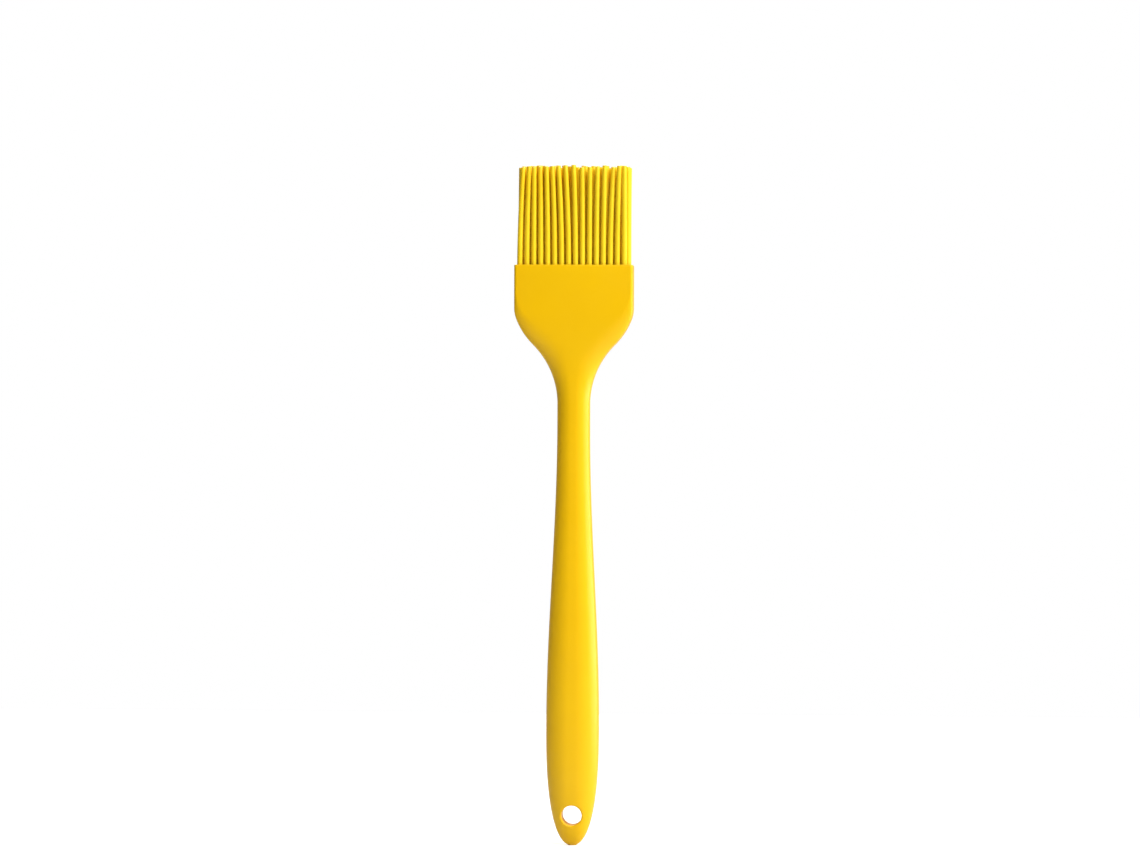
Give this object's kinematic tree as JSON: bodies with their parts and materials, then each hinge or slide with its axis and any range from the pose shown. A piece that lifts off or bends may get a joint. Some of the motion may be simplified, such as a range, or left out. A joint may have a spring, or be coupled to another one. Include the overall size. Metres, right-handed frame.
{
  "type": "pastry brush",
  "caption": "Silicone pastry brush: a flat head with rows of round flexible bristles on a slim swelling handle with a hanging hole.",
  "frame": {"origin": "centre of the hanging hole, in the middle of the handle's thickness", "axes": "+Z along the handle from the hanging hole to the bristle tips, +X across the width, -Y out of the front face"},
  "size_m": [0.0366, 0.0116, 0.21],
  "materials": {
    "body_silicone": "satin yellow silicone rubber",
    "bristle_silicone": "satin yellow silicone rubber",
    "core_nylon": "natural glass-filled nylon"
  },
  "bodies": {
    "handle": {"silicone_body": "body_silicone", "stiffening_core": "core_nylon", "bristle_block": "bristle_silicone"},
    "bristles_1": {"bristle_row_1": "bristle_silicone"},
    "bristles_2": {"bristle_row_2": "bristle_silicone"},
    "bristles_3": {"bristle_row_3": "bristle_silicone"},
    "bristles_4": {"bristle_row_4": "bristle_silicone"}
  },
  "joints": [
    {"name": "bristle_lean_1", "type": "hinge", "parent": "handle", "child": "bristles_1", "pos_m": [0, -0.00285, 0.1701], "axis": [1, 0, 0], "range_deg": [-35, 35], "stiffness_Nm_per_rad": 0.0017},
    {"name": "bristle_lean_2", "type": "hinge", "parent": "handle", "child": "bristles_2", "pos_m": [0, -0.00095, 0.1701], "axis": [1, 0, 0], "range_deg": [-35, 35], "stiffness_Nm_per_rad": 0.0017},
    {"name": "bristle_lean_3", "type": "hinge", "parent": "handle", "child": "bristles_3", "pos_m": [0, 0.00095, 0.1701], "axis": [1, 0, 0], "range_deg": [-35, 35], "stiffness_Nm_per_rad": 0.0017},
    {"name": "bristle_lean_4", "type": "hinge", "parent": "handle", "child": "bristles_4", "pos_m": [0, 0.00285, 0.1701], "axis": [1, 0, 0], "range_deg": [-35, 35], "stiffness_Nm_per_rad": 0.0017}
  ],
  "couplings": [
    {"joint": "bristle_lean_2", "follows": "bristle_lean_1", "ratio": 1},
    {"joint": "bristle_lean_3", "follows": "bristle_lean_1", "ratio": 1},
    {"joint": "bristle_lean_4", "follows": "bristle_lean_1", "ratio": 1}
  ]
}
